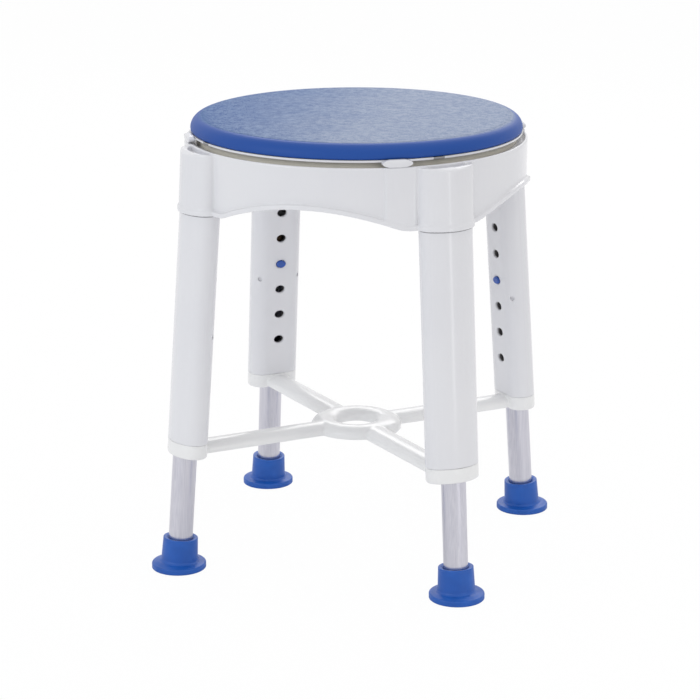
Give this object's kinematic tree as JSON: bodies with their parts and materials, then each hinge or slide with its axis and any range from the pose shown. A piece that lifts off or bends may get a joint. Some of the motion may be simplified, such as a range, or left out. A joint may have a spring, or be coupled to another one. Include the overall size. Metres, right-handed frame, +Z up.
{
  "type": "swivel shower stool",
  "caption": "Round padded shower stool that swivels on a moulded frame, with splayed legs that adjust in height by snap buttons and a ring brace.",
  "frame": {"origin": "on the floor, under the axis of the seat", "axes": "+Z up along the swivel axis, +X towards the stool's right, -Y towards its front"},
  "size_m": [0.3664, 0.3664, 0.4715],
  "materials": {
    "white_plastic": "glossy moulded polypropylene",
    "blue_pad": "integral skin foam, smooth edge and finely textured top",
    "blue_rubber": "satin moulded rubber",
    "blue_plastic": "glossy moulded button",
    "anodised_tube": "satin anodised, drawn tube",
    "bearing_plastic": "natural acetal",
    "zinc_steel": "zinc plated",
    "spring_steel": "stainless strip"
  },
  "bodies": {
    "stand": {"frame": "white_plastic", "cross_brace": "white_plastic", "brace_screws": "zinc_steel", "sleeve_screws": "zinc_steel", "clip_screws": "zinc_steel", "glide_ring": "bearing_plastic", "hub_bush": "bearing_plastic", "seat_clip_1": "white_plastic", "seat_clip_2": "white_plastic", "seat_clip_3": "white_plastic", "seat_clip_4": "white_plastic", "leg_sleeve_front_left": "white_plastic", "sleeve_liner_front_left": "bearing_plastic", "leg_sleeve_front_right": "white_plastic", "sleeve_liner_front_right": "bearing_plastic", "leg_sleeve_back_right": "white_plastic", "sleeve_liner_back_right": "bearing_plastic", "leg_sleeve_back_left": "white_plastic", "sleeve_liner_back_left": "bearing_plastic"},
    "seat": {"seat_pan": "white_plastic", "seat_pad": "blue_pad", "edge_ring": "bearing_plastic", "pivot_bolt": "zinc_steel", "pivot_washer": "zinc_steel", "pivot_nut": "zinc_steel"},
    "leg_front_left": {"leg_tube_front_left": "anodised_tube", "tube_cap_front_left": "bearing_plastic", "snap_spring_front_left": "spring_steel", "foot_front_left": "blue_rubber", "foot_washer_front_left": "zinc_steel"},
    "button_front_left": {"snap_button_front_left": "blue_plastic"},
    "leg_front_right": {"leg_tube_front_right": "anodised_tube", "tube_cap_front_right": "bearing_plastic", "snap_spring_front_right": "spring_steel", "foot_front_right": "blue_rubber", "foot_washer_front_right": "zinc_steel"},
    "button_front_right": {"snap_button_front_right": "blue_plastic"},
    "leg_back_right": {"leg_tube_back_right": "anodised_tube", "tube_cap_back_right": "bearing_plastic", "snap_spring_back_right": "spring_steel", "foot_back_right": "blue_rubber", "foot_washer_back_right": "zinc_steel"},
    "button_back_right": {"snap_button_back_right": "blue_plastic"},
    "leg_back_left": {"leg_tube_back_left": "anodised_tube", "tube_cap_back_left": "bearing_plastic", "snap_spring_back_left": "spring_steel", "foot_back_left": "blue_rubber", "foot_washer_back_left": "zinc_steel"},
    "button_back_left": {"snap_button_back_left": "blue_plastic"}
  },
  "joints": [
    {"name": "seat_swivel", "type": "hinge", "parent": "stand", "child": "seat", "pos_m": [0, 0, 0.455], "axis": [0, 0, 1], "continuous": true},
    {"name": "leg_slide_front_left", "type": "slide", "parent": "stand", "child": "leg_front_left", "axis": [-0.0528, -0.0528, -0.9972], "range_m": [-0.06, 0.09], "deforming": ["snap_button_front_left", "snap_spring_front_left"]},
    {"name": "button_press_front_left", "type": "slide", "parent": "leg_front_left", "child": "button_front_left", "axis": [-0.7051, -0.7051, 0.0746], "range_m": [0, 0.0075], "stiffness_N_per_m": 400, "springref_m": -0.004, "deforming": ["snap_spring_front_left"]},
    {"name": "leg_slide_front_right", "type": "slide", "parent": "stand", "child": "leg_front_right", "axis": [0.0528, -0.0528, -0.9972], "range_m": [-0.06, 0.09], "deforming": ["snap_button_front_right", "snap_spring_front_right"]},
    {"name": "button_press_front_right", "type": "slide", "parent": "leg_front_right", "child": "button_front_right", "axis": [0.7051, -0.7051, 0.0746], "range_m": [0, 0.0075], "stiffness_N_per_m": 400, "springref_m": -0.004, "deforming": ["snap_spring_front_right"]},
    {"name": "leg_slide_back_right", "type": "slide", "parent": "stand", "child": "leg_back_right", "axis": [0.0528, 0.0528, -0.9972], "range_m": [-0.06, 0.09], "deforming": ["snap_button_back_right", "snap_spring_back_right"]},
    {"name": "button_press_back_right", "type": "slide", "parent": "leg_back_right", "child": "button_back_right", "axis": [0.7051, 0.7051, 0.0746], "range_m": [0, 0.0075], "stiffness_N_per_m": 400, "springref_m": -0.004, "deforming": ["snap_spring_back_right"]},
    {"name": "leg_slide_back_left", "type": "slide", "parent": "stand", "child": "leg_back_left", "axis": [-0.0528, 0.0528, -0.9972], "range_m": [-0.06, 0.09], "deforming": ["snap_button_back_left", "snap_spring_back_left"]},
    {"name": "button_press_back_left", "type": "slide", "parent": "leg_back_left", "child": "button_back_left", "axis": [-0.7051, 0.7051, 0.0746], "range_m": [0, 0.0075], "stiffness_N_per_m": 400, "springref_m": -0.004, "deforming": ["snap_spring_back_left"]}
  ]
}
